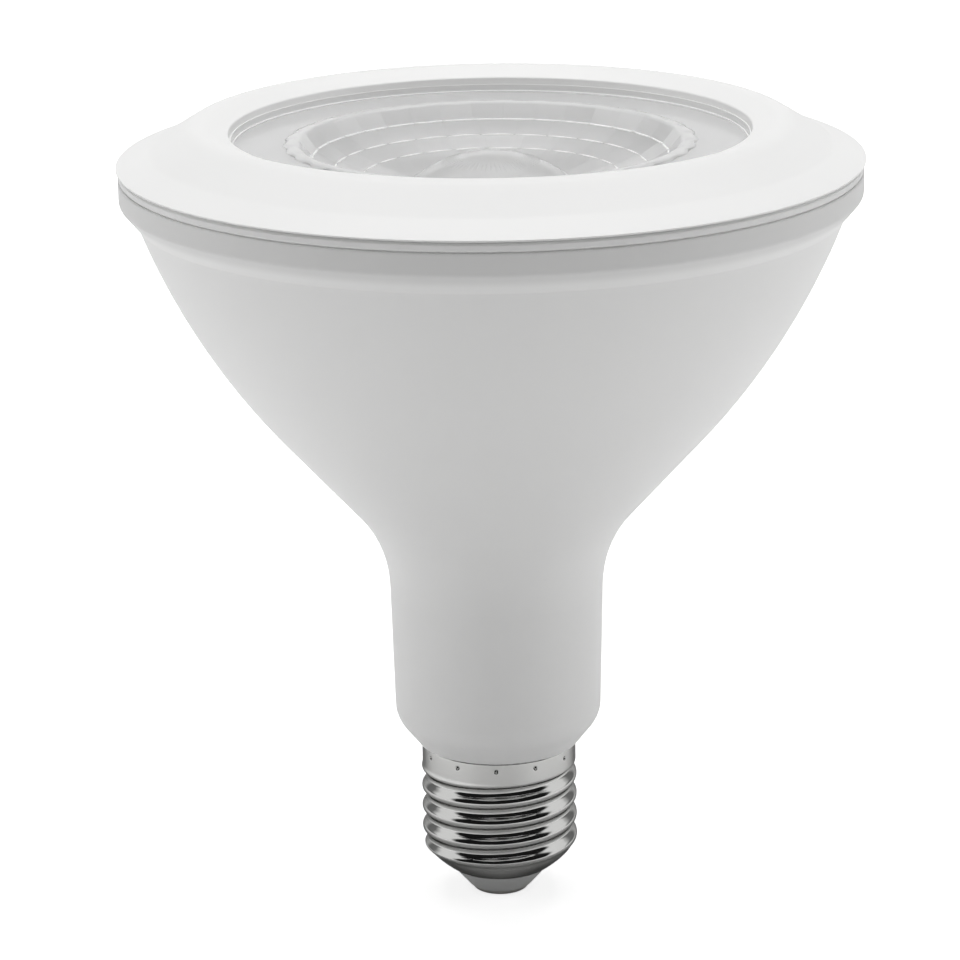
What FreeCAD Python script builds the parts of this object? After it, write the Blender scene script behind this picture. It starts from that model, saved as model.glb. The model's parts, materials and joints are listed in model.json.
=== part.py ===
import FreeCAD, Part
import math
import os

Vector = FreeCAD.Vector
axis = Vector(0, 0, 1)

# All sizes are in millimetres and degrees. Heights are measured up from the contact's flat tip.

# How far a cutter runs past the face that it opens
cut_over = 1.0

# Rolled screw shell of the cap
thread_pitch = 25.4 / 7
thread_round = 1.025
crest_radius = 13.15
crest_rise = 4.27
crest_count = 4
shell_wall = 0.35
band_radius = 13.0
band_height = 4.62
lip_radius = 8.6
lip_height = 4.5
crimp_count = 12
crimp_drop = 1.5
crimp_mouth = 0.5
crimp_tip = 0.15
crimp_depth = 0.55
crimp_phase = -2.5

# Insulating cone and contact
insulator_tip_radius = 5.3
insulator_rim_radius = 8.4
insulator_head = 3.1
insulator_gap = 0.3
contact_radius = 4.8
contact_thickness = 0.9
contact_round = 0.6
stem_radius = 1.2
stem_top = 6.5
stem_gap = 0.1

# Housing, from the spigot up to the rim
housing_wall = 1.6
spigot_gap = 0.15
spigot_wall = 1.4
spigot_length = 4.2
base_overhang = 0.5
base_angle = 38.4
neck_step = 3.86
base_rise = 7.0
neck_taper = 1.35
neck_round = 5.5
neck_length = 28.25
waist_round = 21.0
flare_angle = 41.9
cone_rise = 19.25
flare_round = 116.0
flare_rise = 36.9
flange_step = 2.8
flange_rise = 3.3
rim_rise = 3.6
rim_wall = 1.8
ledge_depth = 3.9
snap_height = 0.9
snap_radius = 0.3
snap_gap = 0.1
flange_edge_round = 1.0
rim_edge_round = 0.3
notch_room = 0.9
notch_height = 2.4

# Board guides inside the neck
guide_rise = 3.5
guide_height = 19.0
guide_step = 2.0
guide_rib = 1.2
guide_reach = 1.6
guide_gap = 0.15

# Pressed heat sink
sink_gap = 0.3
sink_wall = 1.2
sink_floor = 2.0
sink_depth = 23.4
sink_corner = 2.5
sink_flange = 1.0
flange_gap = 0.3

# Front optic
lens_rise = 4.5
lens_thickness = 2.2
lens_overlap = 6.2
lens_flange = 1.2
lens_flange_width = 5.3
flute_reach = 2.3
rim_round = 0.8
tier_facets = [35, 28, 24, 24]
tier_tops = [31.2, 28.8, 25.3, 20.9]
tier_bottoms = [29.2, 25.7, 21.3, 14.6]
tier_depths = [2.3, 4.2, 5.6, 7.2]
tier_phases = [4.6, 9.5, 13.5, 11.5]
dome_radius = 14.0
dome_height = 5.4
dome_root = 1.0
collector_radius = 9.5
collector_wall = 2.7
collector_stand = 2.9
collector_bulge = 1.0
throat_radius = 21.5
throat_depth = 8.2
bowl_foot = 33.5
pocket_height = 6.0
pocket_dome = 2.0

# Bezel ring
bezel_wall = 1.8
bezel_width = 18.03
aperture_depth = 2.34
aperture_taper = 0.4
lens_seat_gap = 0.05
crown_rise = 2.0
crown_reach = 5.2
crown_round = 4.0
slope_foot_drop = 2.74
slope_foot_reach = 5.1
lip_overhang = 0.3
lip_thickness = 0.25
lip_lift = 0.6
slope_round = 3.0
aperture_round = 0.4
fine_step = 0.2
bead_height = 0.85
bead_inset = 0.1
bezel_seat = 0.3
groove_depth = 0.8
skirt_gap = 0.25
skirt_wall = 1.9

# Light board and what it carries
pad_thickness = 0.5
light_board_radius = 24.0
light_board_thickness = 1.6
array_side = 14.0
array_base = 1.0
array_dome_radius = 5.5
array_dome_height = 0.6
screw_circle = 19.0
screw_count = 3
screw_shank = 1.25
screw_head = 2.8
screw_head_height = 2.0
screw_head_round = 1.2
screw_reach = 3.0
slot_width = 0.7
screw_gap = 0.1
wire_hole_place = 20.5
wire_hole_radius = 2.6
terminal_length = 5.5
terminal_width = 7.0
terminal_height = 2.6
terminal_place = 12.75
well_radius = 1.1
well_depth = 0.8

# Driver board
board_front = 1.5
board_thickness = 1.6
board_width = 28.0
board_neck_length = 35.5
board_top_length = 22.0
board_top_width = 38.0
lead_radius = 0.65
pin_radius = 0.3
wire_bend = 0.45
touch_gap = 0.2

# Parts on the board's front face, each with its place across and up the board
can_round = 0.5
can_waist = 0.12
can_pin_drop = 2.0
bulk_radius = 5.0
bulk_length = 16.0
bulk_x = -7.5
bulk_rise = 2.5
output_radius = 4.0
output_length = 12.0
output_inset = 8.0
output_rise = 16.8
film_width = 12.0
film_depth = 9.0
film_height = 5.5
film_round = 0.8
film_rise = 7.5
varistor_radius = 3.5
varistor_thickness = 3.2
varistor_round = 0.9
varistor_stand = 1.5
varistor_spread = 1.9
varistor_x = 5.5
varistor_rise = 19.5
fuse_radius = 1.6
fuse_length = 8.5
fuse_round = 0.6
fuse_reach = 1.2
fuse_x = -8.0
fuse_rise = 17.0
choke_radius = 4.2
choke_length = 9.0
choke_cheek = 1.4
choke_depth = 0.5
choke_drop = 5.5
core_width = 16.0
core_height = 13.0
core_depth = 5.0
core_limb = 2.4
core_gap = 0.15
winding_depth = 11.0
winding_round = 1.0
winding_stand = 1.2
transformer_x = 6.5
transformer_drop = 0.5

# Packages on the board's back face
package_lift = 0.1
foot_length = 0.9
foot_width = 0.4
rectifier_width = 4.7
rectifier_height = 5.0
rectifier_depth = 2.4
rectifier_x = 0.0
rectifier_rise = 11.5
chip_width = 3.9
chip_height = 4.9
chip_depth = 1.5
chip_x = 5.0
chip_rise = 27.5
diode_width = 6.8
diode_height = 5.6
diode_depth = 2.3
diode_inset = 9.0
diode_rise = 45.5
resistor_width = 1.25
resistor_depth = 0.55
resistor_height = 2.0
resistor_x = -6.0
resistor_spread = 3.0
resistor_rise = 6.5
resistor_step = 11.0
resistor_rows = 4

# Leads: where they leave the board, and how far they stand off it
mains_reach = 5.0
mains_rise = 3.5
mains_turn = 7.0
mains_stand = 5.0
neutral_rise = 1.2
neutral_swing = 1.0
board_lead_x = -9.0
board_lead_stand = 3.5
board_lead_drop = 4.0
board_lead_step = 5.0


# One corner or end of a turned outline, with its rounding, or the point that an arc reaches it through
def stop(radius, height, rounding=0, via=None):
    return {"at": Vector(radius, 0, height), "rounding": rounding, "via": via}


# Ends and middle of the arc that rounds a corner
def rounded_corner(before, corner, after, rounding):
    back = (before - corner).normalize()
    ahead = (after - corner).normalize()
    half = back.getAngle(ahead) / 2
    setback = rounding / math.tan(half)
    middle = (back + ahead).normalize() * (rounding / math.sin(half) - rounding)
    return corner + back * setback, corner + middle, corner + ahead * setback


# Closed wire through the stops, with straight runs, arcs and rounded corners
def outline(stops):
    ends = []
    bends = []
    for index, here in enumerate(stops):
        before = stops[index - 1]["at"]
        after = stops[(index + 1) % len(stops)]["at"]
        if here["rounding"] > 0:
            start, middle, finish = rounded_corner(before, here["at"], after, here["rounding"])
            bends.append(Part.Arc(start, middle, finish).toShape())
            ends.append((start, finish))
        else:
            bends.append(None)
            ends.append((here["at"], here["at"]))
    edges = []
    for index, here in enumerate(stops):
        start = ends[index - 1][1]
        finish = ends[index][0]
        if here["via"]:
            edges.append(Part.Arc(start, here["via"], finish).toShape())
        else:
            edges.append(Part.makeLine(start, finish))
        if bends[index]:
            edges.append(bends[index])
    return Part.Wire(edges)


# Solid turned round the lamp's axis
def turned(stops):
    return Part.Face(outline(stops)).revolve(Vector(0, 0, 0), axis, 360)


# Point on a circle round the axis
def around(radius, angle, height):
    turn = math.radians(angle)
    return Vector(radius * math.cos(turn), radius * math.sin(turn), height)


# Slanted wall line: radius at a height, and how fast the radius grows with height
def wall_line(radius, height, angle):
    return radius, height, math.tan(math.radians(angle))


# The same line moved square to itself towards the axis
def inset_line(line, inset):
    radius, height, slope = line
    return radius - inset * math.sqrt(1 + slope * slope), height, slope


def line_radius(line, height):
    return line[0] + line[2] * (height - line[1])


# Corner where two wall lines meet
def meet(lower, upper):
    gap = lower[0] - lower[2] * lower[1] - upper[0] + upper[2] * upper[1]
    height = gap / (upper[2] - lower[2])
    return line_radius(lower, height), height


# Radius of the sphere that a low dome is part of, and the middle of its arc from rim to crown
def dome_sphere(radius, height):
    return (radius ** 2 + height ** 2) / (2 * height)


def dome_middle(radius, base, height):
    sphere = dome_sphere(radius, height)
    half = math.asin(radius / sphere) / 2
    return Vector(sphere * math.sin(half), 0, base + height - sphere * (1 - math.cos(half)))


# Heights, each built on the one below it
last_crest_height = lip_height + crest_rise
top_crest_height = last_crest_height + (crest_count - 1) * thread_pitch
insulator_top = lip_height + insulator_head
band_top = top_crest_height + thread_pitch * 3 / 4 + band_height
spigot_bottom = band_top - spigot_length
neck_height = band_top + base_rise
waist_height = neck_height + neck_length
flare_start = waist_height + cone_rise
shoulder_height = flare_start + flare_rise
rim_height = shoulder_height + flange_rise + rim_rise
guide_bottom = neck_height - guide_rise
board_bottom = guide_bottom + guide_step
board_step = board_bottom + board_neck_length
board_top = board_step + board_top_length
lens_top = rim_height + lens_rise
aperture_height = lens_top + aperture_depth

base_radius = band_radius + base_overhang
neck_radius = base_radius + neck_step
base_line = wall_line(base_radius, band_top, base_angle)
neck_line = wall_line(neck_radius, neck_height, neck_taper)
flare_line = wall_line(line_radius(neck_line, waist_height), waist_height, flare_angle)
flare_tilt = math.radians(flare_angle)
flare_edge = line_radius(flare_line, flare_start)
flare_centre = (flare_edge - flare_round * math.cos(flare_tilt),
                flare_start + flare_round * math.sin(flare_tilt))


# Radius of the curved flare at a height, a given depth inside the outer face
def flare_radius(height, inset):
    rise = height - flare_centre[1]
    return flare_centre[0] + math.sqrt((flare_round - inset) ** 2 - rise ** 2)


def flare_point(height, inset):
    return Vector(flare_radius(height, inset), 0, height)


# Heights and radii that mating pieces share
flange_radius = flare_radius(shoulder_height, 0) + flange_step
socket_radius = flange_radius - rim_wall
ledge_height = rim_height - ledge_depth
sink_floor_height = ledge_height - sink_depth
lens_seat = ledge_height + sink_flange
skirt_bottom = lens_seat + lens_flange
spigot_radius = band_radius - shell_wall - spigot_gap
spigot_bore = spigot_radius - spigot_wall
snap_centre = rim_height - snap_height
aperture_radius = flange_radius - bezel_width
sink_top = sink_floor_height + sink_floor
light_board_bottom = sink_top + pad_thickness
light_board_top = light_board_bottom + light_board_thickness
board_back = board_front + board_thickness
flank = math.asin(thread_pitch / 4 / thread_round)
thread_depth = 2 * thread_round * (1 - math.cos(flank))
mean_radius = crest_radius - thread_depth / 2


# Spot on the flank where a crest's arc meets a root's arc, on a face set in by the sheet's depth
def flank_spot(height, side, inset):
    radius = mean_radius - inset * math.cos(flank)
    return radius, height + side * (thread_pitch / 4 - inset * math.sin(flank))


# Arcs of the rolled knuckles from the band down to the last crest
def knuckle_stops(inset):
    top_flank = top_crest_height + thread_pitch * 3 / 4
    band_rise = (band_radius - inset - mean_radius + inset / math.cos(flank)) / math.tan(flank)
    stops = [stop(band_radius - inset, top_flank + band_rise)]
    stops.append(stop(*flank_spot(top_crest_height + thread_pitch, -1, inset)))
    root_radius = crest_radius - thread_depth - inset
    for number in range(crest_count):
        crest = top_crest_height - number * thread_pitch
        root = Vector(root_radius, 0, crest + thread_pitch / 2)
        stops.append(stop(*flank_spot(crest, 1, inset), via=root))
        tip = Vector(crest_radius - inset, 0, crest)
        stops.append(stop(*flank_spot(crest, -1, inset), via=tip))
    return stops


# Cone below the last crest, as a wall line through its outer face
def cone_line():
    radius, height = flank_spot(last_crest_height, -1, 0)
    slope = (radius - lip_radius) / (height - lip_height)
    return radius, height, slope


# Punch marks round the band, each a short cone that points at the axis
def crimps(growth):
    marks = []
    for number in range(crimp_count):
        angle = 270 + crimp_phase + number * 360 / crimp_count
        tip = around(band_radius - crimp_depth - growth, angle, band_top - crimp_drop)
        outward = around(1, angle, 0)
        length = crimp_depth + growth
        marks.append(Part.makeCone(crimp_tip + growth, crimp_mouth + growth, length, tip, outward))
    return marks


# Rolled and plated screw shell, one sheet with the same wall all through
def make_screw_shell():
    outer = [stop(band_radius, band_top)] + knuckle_stops(0) + [stop(lip_radius, lip_height)]
    inner_lip = line_radius(inset_line(cone_line(), shell_wall), lip_height)
    inner = [stop(inner_lip, lip_height)] + inner_stops() + [stop(band_radius - shell_wall, band_top)]
    shell = turned(outer + inner)
    inside = Part.makeCylinder(band_radius - shell_wall / 2, band_top, Vector(0, 0, 0))
    shell = shell.fuse(Part.makeCompound(crimps(shell_wall)).common(inside).Solids)
    return shell.cut(Part.makeCompound(crimps(0))).removeSplitter()


# The inner face's stops walked upwards, so each arc's middle goes with the stop above it
def inner_stops():
    stops = knuckle_stops(shell_wall)
    for index in range(len(stops) - 1):
        stops[index]["via"] = stops[index + 1]["via"]
    stops[-1]["via"] = None
    return list(reversed(stops))


# Insulating cone, held by the shell's lip between its rim and its head
def make_cap_insulator():
    hole = stem_radius + stem_gap
    inner_cone = inset_line(cone_line(), shell_wall)
    neck = line_radius(inner_cone, lip_height) - stem_gap
    head = line_radius(inset_line(inner_cone, insulator_gap), insulator_top - contact_thickness)
    return turned([
        stop(hole, contact_thickness),
        stop(insulator_tip_radius, contact_thickness, contact_round / 2),
        stop(insulator_rim_radius, lip_height),
        stop(neck, lip_height),
        stop(neck, lip_height + insulator_gap),
        stop(head, insulator_top - contact_thickness),
        stop(head, insulator_top),
        stop(hole, insulator_top)])


# Contact button with its stem
def make_centre_contact():
    return turned([
        stop(0, 0),
        stop(contact_radius, 0, contact_round),
        stop(contact_radius, contact_thickness),
        stop(stem_radius, contact_thickness),
        stop(stem_radius, stem_top),
        stop(0, stem_top)])


# Ribs that hold the driver board's two edges, and the stops that it stands on, rooted in the neck's wall
def board_guides():
    top = guide_bottom + guide_height
    foot_line = inset_line(base_line, housing_wall / 2)
    side_line = inset_line(neck_line, housing_wall / 2)
    room = turned([
        stop(0, guide_bottom),
        stop(line_radius(foot_line, guide_bottom), guide_bottom),
        stop(*meet(foot_line, side_line)),
        stop(line_radius(side_line, top), top),
        stop(0, top)])
    outer = line_radius(side_line, top)
    inner = board_width / 2 - guide_reach
    ribs = []
    depth = board_thickness + 2 * (guide_gap + guide_rib)
    for side in (-1, 1):
        start = min(side * inner, side * outer)
        near = Vector(start, board_front - guide_gap - guide_rib, guide_bottom)
        far = Vector(start, board_back + guide_gap, guide_bottom)
        ribs.append(Part.makeBox(outer - inner, guide_rib, guide_height, near))
        ribs.append(Part.makeBox(outer - inner, guide_rib, guide_height, far))
        ribs.append(Part.makeBox(outer - inner, depth, board_bottom - guide_bottom, near))
    return [rib.common(room) for rib in ribs]


# Inner outline's stops from the ledge down to the spigot's bore
def housing_inside():
    wall = housing_wall
    tilt = math.cos(flare_tilt), math.sin(flare_tilt)
    bore_line = inset_line(base_line, wall)
    bore_top = bore_line[1] + (spigot_bore - bore_line[0]) / bore_line[2]
    waist = meet(inset_line(neck_line, wall), inset_line(flare_line, wall))
    shoulder = meet(bore_line, inset_line(neck_line, wall))
    start = Vector(flare_edge - wall * tilt[0], 0, flare_start + wall * tilt[1])
    middle = flare_point((start.z + ledge_height) / 2, wall)
    return [
        stop(flare_radius(ledge_height, wall), ledge_height),
        stop(start.x, start.z, via=middle),
        stop(*waist, waist_round + wall),
        stop(*shoulder, neck_round - wall),
        stop(spigot_bore, bore_top),
        stop(spigot_bore, spigot_bottom)]


# White body: spigot, neck, waist, curved flare and the flange with its snap groove
def make_housing():
    middle = flare_point((flare_start + shoulder_height) / 2, 0)
    groove = snap_radius + snap_gap
    stops = [
        stop(spigot_radius, spigot_bottom),
        stop(spigot_radius, band_top),
        stop(base_radius, band_top, rim_edge_round),
        stop(*meet(base_line, neck_line), neck_round),
        stop(*meet(neck_line, flare_line), waist_round),
        stop(flare_edge, flare_start),
        stop(flare_radius(shoulder_height, 0), shoulder_height, via=middle),
        stop(flange_radius, shoulder_height + flange_rise, flange_edge_round),
        stop(flange_radius, rim_height, rim_edge_round),
        stop(socket_radius, rim_height),
        stop(socket_radius, snap_centre + groove),
        stop(socket_radius, snap_centre - groove, via=Vector(socket_radius + groove, 0, snap_centre)),
        stop(socket_radius, ledge_height)]
    body = turned(stops + housing_inside())
    body = body.fuse(board_guides())
    notch_width = 2 * lead_radius + notch_room
    corner = Vector(-spigot_radius - cut_over, -notch_width / 2, spigot_bottom - cut_over)
    notch = Part.makeBox(spigot_radius, notch_width, notch_height + cut_over, corner)
    return body.cut([Part.makeCompound(crimps(shell_wall + spigot_gap)), notch]).removeSplitter()


# Pressed cup that lines the flare, with its rim on the housing's ledge
def make_heat_sink():
    outside = housing_wall + sink_gap
    inside = outside + sink_wall
    corner_height = sink_floor_height + sink_corner
    inner_height = sink_top + sink_corner
    rim = socket_radius - flange_gap
    outer_middle = flare_point((corner_height + ledge_height) / 2, outside)
    inner_middle = flare_point((inner_height + lens_seat) / 2, inside)
    cup = turned([
        stop(0, sink_floor_height),
        stop(flare_radius(corner_height, outside) - sink_corner, sink_floor_height),
        stop(flare_radius(corner_height, outside), corner_height),
        stop(flare_radius(ledge_height, outside), ledge_height, via=outer_middle),
        stop(rim, ledge_height),
        stop(rim, lens_seat),
        stop(flare_radius(lens_seat, inside), lens_seat),
        stop(flare_radius(inner_height, inside), inner_height, via=inner_middle),
        stop(flare_radius(inner_height, inside) - sink_corner, sink_top),
        stop(0, sink_top)])
    return cup.cut(floor_holes(screw_shank + screw_gap / 2, sink_floor_height, sink_floor))


# Cutters of the screw holes and the wire hole through a plate
def floor_holes(radius, bottom, thickness):
    height = thickness + 2 * cut_over
    start = bottom - cut_over
    holes = [Part.makeCylinder(wire_hole_radius, height, Vector(-wire_hole_place, 0, start))]
    for number in range(screw_count):
        place = around(screw_circle, number * 360 / screw_count, start)
        holes.append(Part.makeCylinder(radius, height, place))
    return holes


# Round plate on the heat sink's floor
def plate(bottom, thickness):
    disc = Part.makeCylinder(light_board_radius, thickness, Vector(0, 0, bottom))
    return disc.cut(floor_holes(screw_shank + 3 * screw_gap, bottom, thickness))


def make_thermal_pad():
    return plate(sink_top, pad_thickness)


def make_led_board():
    return plate(light_board_bottom, light_board_thickness)


# Square base with the round light-giving patch on it
def make_led_array():
    corner = Vector(-array_side / 2, -array_side / 2, light_board_top)
    base = Part.makeBox(array_side, array_side, array_base, corner)
    patch_bottom = light_board_top + array_base
    patch_top = patch_bottom + array_dome_height
    patch = turned([
        stop(0, patch_bottom),
        stop(array_dome_radius, patch_bottom),
        stop(array_dome_radius, patch_top, array_dome_height / 2),
        stop(0, patch_top)])
    return base.fuse(patch)


# Pan-head screws with crossed slots
def make_board_screws():
    screws = []
    for number in range(screw_count):
        place = around(screw_circle, number * 360 / screw_count, 0)
        bottom = sink_floor_height - screw_reach
        shank = Part.makeCylinder(screw_shank, light_board_top - bottom, place + Vector(0, 0, bottom))
        head = turned([
            stop(0, light_board_top),
            stop(screw_head, light_board_top),
            stop(screw_head, light_board_top + screw_head_height, screw_head_round),
            stop(0, light_board_top + screw_head_height)])
        head.translate(place)
        slot_base = light_board_top + screw_head_height / 2
        slots = []
        for size in ((screw_head, slot_width), (slot_width, screw_head)):
            corner = place + Vector(-size[0] / 2, -size[1] / 2, slot_base)
            slots.append(Part.makeBox(size[0], size[1], screw_head_height, corner))
        screws.append(head.fuse(shank).cut(slots))
    return Part.makeCompound(screws)


# Wire terminal with its two entries and two clamp wells
def make_lead_terminal():
    start = -terminal_place - terminal_length / 2
    block = Part.makeBox(terminal_length, terminal_width, terminal_height,
                         Vector(start, -terminal_width / 2, light_board_top))
    wells = []
    for side in (-1, 1):
        floor = light_board_top + terminal_height - well_depth
        well = Vector(-terminal_place, side * terminal_width / 4, floor)
        wells.append(Part.makeCylinder(well_radius, well_depth + cut_over, well))
    return block.cut(wells)


# Regular polygon round the axis
def polygon(sides, radius, height, phase):
    corners = [around(radius, phase + number * 360 / sides, height) for number in range(sides)]
    return Part.makePolygon(corners + [corners[0]])


# Scalloped ring round the axis, with its cusps where the polygon of the same size has its corners
def scallops(sides, radius, height, phase):
    arcs = []
    for number in range(sides):
        angles = [phase + (number + share) * 360 / sides for share in (0, 0.5, 1)]
        start = around(radius, angles[0], height)
        middle = around(radius + flute_reach, angles[1], height)
        arcs.append(Part.Arc(start, middle, around(radius, angles[2], height)).toShape())
    return Part.Wire(arcs)


# Cutter of one tier of the bowl: facets below, straight sides up to the rim, and flutes in the top tier
def tier_cutter(number, top):
    sides = tier_facets[number]
    phase = 90 - tier_phases[number]
    wide = tier_tops[number]
    narrow = tier_bottoms[number]
    upper = lens_top - (tier_depths[number - 1] if number else 0)
    ring = polygon(sides, wide, upper, phase) if number else scallops(sides, wide, upper, phase)
    lower = polygon(sides, narrow, lens_top - tier_depths[number], phase)
    facets = Part.makeLoft([lower, ring], True, True)
    clear = Part.Face(ring).extrude(axis * (top - upper))
    return facets.fuse(clear)


# Lens without its bowl: the collector with its pocket, the flat rim, the slanted wall and the flange
def lens_blank():
    underside = lens_top - lens_thickness
    rim = aperture_radius + lens_overlap
    foot = socket_radius - flange_gap - lens_flange_width
    pocket = collector_radius - collector_wall
    collector_bottom = light_board_top + collector_stand
    pocket_top = collector_bottom + pocket_height
    throat_height = lens_top - throat_depth
    middle = Vector((collector_radius + throat_radius) / 2 + collector_bulge, 0,
                    (collector_bottom + throat_height) / 2 - collector_bulge)
    flange_edge = socket_radius - flange_gap
    lean = (rim - foot) / (lens_top - skirt_bottom)
    wall = lens_thickness * math.sqrt(1 + lean * lean) / 2
    return turned([
        stop(0, pocket_top + pocket_dome),
        stop(pocket, pocket_top, via=dome_middle(pocket, pocket_top, pocket_dome)),
        stop(pocket, collector_bottom),
        stop(collector_radius, collector_bottom),
        stop(throat_radius, throat_height, via=middle),
        stop(bowl_foot, underside),
        stop(rim - wall, underside),
        stop(foot + lean * (skirt_bottom - lens_seat) - wall, lens_seat),
        stop(flange_edge, lens_seat),
        stop(flange_edge, skirt_bottom),
        stop(foot, skirt_bottom),
        stop(rim, lens_top, rim_round),
        stop(0, lens_top)])


# Clear optic: fluted edge of the bowl, tiers of flat facets and the dome in the middle
def make_front_lens():
    lens = lens_blank()
    for number in range(len(tier_facets)):
        lens = lens.cut(tier_cutter(number, lens_top + cut_over))
    base = lens_top - tier_depths[-1]
    dome = turned([
        stop(0, base - dome_root),
        stop(dome_radius, base - dome_root),
        stop(dome_radius, base),
        stop(0, base + dome_height, via=dome_middle(dome_radius, base, dome_height))])
    return lens.fuse(dome).removeSplitter()


# White front ring: shadow groove, lip, two slopes, rounded crown, aperture wall and the snap skirt
def make_bezel_ring():
    bottom = rim_height
    groove = bottom + bezel_seat + bead_height
    lip_bottom = groove + lip_lift
    bead = flange_radius - bead_inset
    lip = flange_radius + lip_overhang
    foot = flange_radius - slope_foot_reach
    crown = aperture_radius + crown_reach
    crown_height = aperture_height + crown_rise
    slope_foot_height = aperture_height - slope_foot_drop
    seat = lens_top + lens_seat_gap
    step = (aperture_height + seat) / 2
    inner = aperture_radius - aperture_taper
    skirt_outer = socket_radius - skirt_gap
    skirt_inner = skirt_outer - skirt_wall
    under_foot = slope_foot_height - bezel_wall
    return turned([
        stop(bead - bezel_seat, bottom),
        stop(bead, bottom + bezel_seat, fine_step),
        stop(bead, groove, fine_step),
        stop(flange_radius - groove_depth, groove + lip_lift / 2),
        stop(lip, lip_bottom, lip_thickness / 3),
        stop(lip, lip_bottom + lip_thickness, lip_thickness / 3),
        stop(foot, slope_foot_height, slope_round),
        stop(crown, crown_height, crown_round),
        stop(aperture_radius, aperture_height, aperture_round),
        stop(inner + fine_step, step),
        stop(inner, step),
        stop(inner, seat),
        stop(inner + bezel_wall, seat),
        stop(inner + bezel_wall, aperture_height - bezel_wall / 2),
        stop(crown, crown_height - bezel_wall, crown_round - bezel_wall),
        stop(foot, under_foot),
        stop(skirt_inner, under_foot - skirt_wall / 3),
        stop(skirt_inner, skirt_bottom),
        stop(skirt_outer, skirt_bottom),
        stop(skirt_outer, snap_centre - snap_radius),
        stop(skirt_outer, snap_centre + snap_radius, via=Vector(skirt_outer + snap_radius, 0, snap_centre)),
        stop(skirt_outer, bottom)])


# T-shaped board: narrow in the neck, wide in the flare
def make_driver_board():
    low = Part.makeBox(board_width, board_thickness, board_step - board_bottom,
                       Vector(-board_width / 2, board_front, board_bottom))
    high = Part.makeBox(board_top_width, board_thickness, board_top - board_step,
                        Vector(-board_top_width / 2, board_front, board_step))
    return low.fuse(high).removeSplitter()


# Round wire along straight runs joined by tangent arcs
def bent_wire(radius, points):
    edges = []
    start = points[0]
    for index in range(1, len(points) - 1):
        here = points[index]
        before = points[index - 1] - here
        after = points[index + 1] - here
        half = before.getAngle(after) / 2
        rounding = wire_bend * min(before.Length, after.Length) * math.tan(half)
        entry, middle, leave = rounded_corner(points[index - 1], here, points[index + 1], rounding)
        edges.append(Part.makeLine(start, entry))
        edges.append(Part.Arc(entry, middle, leave).toShape())
        start = leave
    edges.append(Part.makeLine(start, points[-1]))
    section = Part.Wire(Part.makeCircle(radius, points[0], points[1] - points[0]))
    return Part.Wire(edges).makePipeShell([section], True, True)


# Round can of an electrolytic capacitor, with the crimped waist near its bung end
def can(radius, length):
    waist = length * can_waist
    return turned([
        stop(0, 0),
        stop(radius, 0, can_round),
        stop(radius, waist),
        stop(radius - can_round, waist + can_round),
        stop(radius, waist + 2 * can_round),
        stop(radius, length, can_round),
        stop(0, length)])


# Straight pin from a part to the board's front face
def pin(x, z, depth):
    return Part.makeCylinder(pin_radius, depth, Vector(x, board_front - depth, z), Vector(0, 1, 0))


# Edges of a part that run along one direction, for rounding
def edges_along(part, direction):
    found = []
    for edge in part.Edges:
        run = edge.Vertexes[-1].Point - edge.Vertexes[0].Point
        if run.Length > 0.1 and abs(run.normalize().dot(direction)) > 0.999:
            found.append(edge)
    return found


# Cylinder with both its ends rounded
def pellet(radius, length, rounding, start, direction):
    body = Part.makeCylinder(radius, length, start, direction)
    return body.makeFillet(rounding, [edge for edge in body.Edges if edge.isClosed()])


# Can that lies along the board, its two pins turned into the board
def make_bulk_capacitor():
    bottom = board_step + bulk_rise
    centre = board_front - touch_gap - bulk_radius
    shape = can(bulk_radius, bulk_length)
    shape.translate(Vector(bulk_x, centre, bottom))
    pins = []
    for side in (-1, 1):
        place = bulk_x + side * bulk_radius / 2
        low = bottom - can_pin_drop
        pins.append(bent_wire(pin_radius, [
            Vector(place, board_front, low), Vector(place, centre, low),
            Vector(place, centre, bottom + can_round)]))
    return shape.fuse(pins)


# A turned part stood on the board's front face
def stood(shape, x, z):
    shape.rotate(Vector(0, 0, 0), Vector(1, 0, 0), 90)
    shape.translate(Vector(x, board_front, z))
    return shape


def make_output_capacitor():
    x = board_top_width / 2 - output_inset
    return stood(can(output_radius, output_length), x, board_step + output_rise)


# Moulded film capacitor box, standing on the board
def make_film_capacitor():
    corner = Vector(-film_width / 2, board_front - film_depth, board_bottom + film_rise)
    box = Part.makeBox(film_width, film_depth, film_height, corner)
    return box.makeFillet(film_round, edges_along(box, Vector(0, 1, 0)))


# Disc-shaped surge absorber on two pins
def make_varistor():
    z = board_bottom + varistor_rise
    middle = board_front - varistor_stand - varistor_radius
    start = Vector(varistor_x - varistor_thickness / 2, middle, z)
    disc = pellet(varistor_radius, varistor_thickness, varistor_round, start, Vector(1, 0, 0))
    reach = varistor_stand + varistor_radius
    return disc.fuse([pin(varistor_x, z + side * varistor_spread, reach) for side in (-1, 1)])


# Coated resistor that opens on overload, along the board on two turned pins
def make_fusible_resistor():
    bottom = board_bottom + fuse_rise
    middle = board_front - touch_gap - fuse_radius
    body = pellet(fuse_radius, fuse_length, fuse_round, Vector(fuse_x, middle, bottom), axis)
    low = bottom - fuse_reach
    high = bottom + fuse_length + fuse_reach
    return body.fuse(bent_wire(pin_radius, [
        Vector(fuse_x, board_front, low), Vector(fuse_x, middle, low),
        Vector(fuse_x, middle, high), Vector(fuse_x, board_front, high)]))


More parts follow.
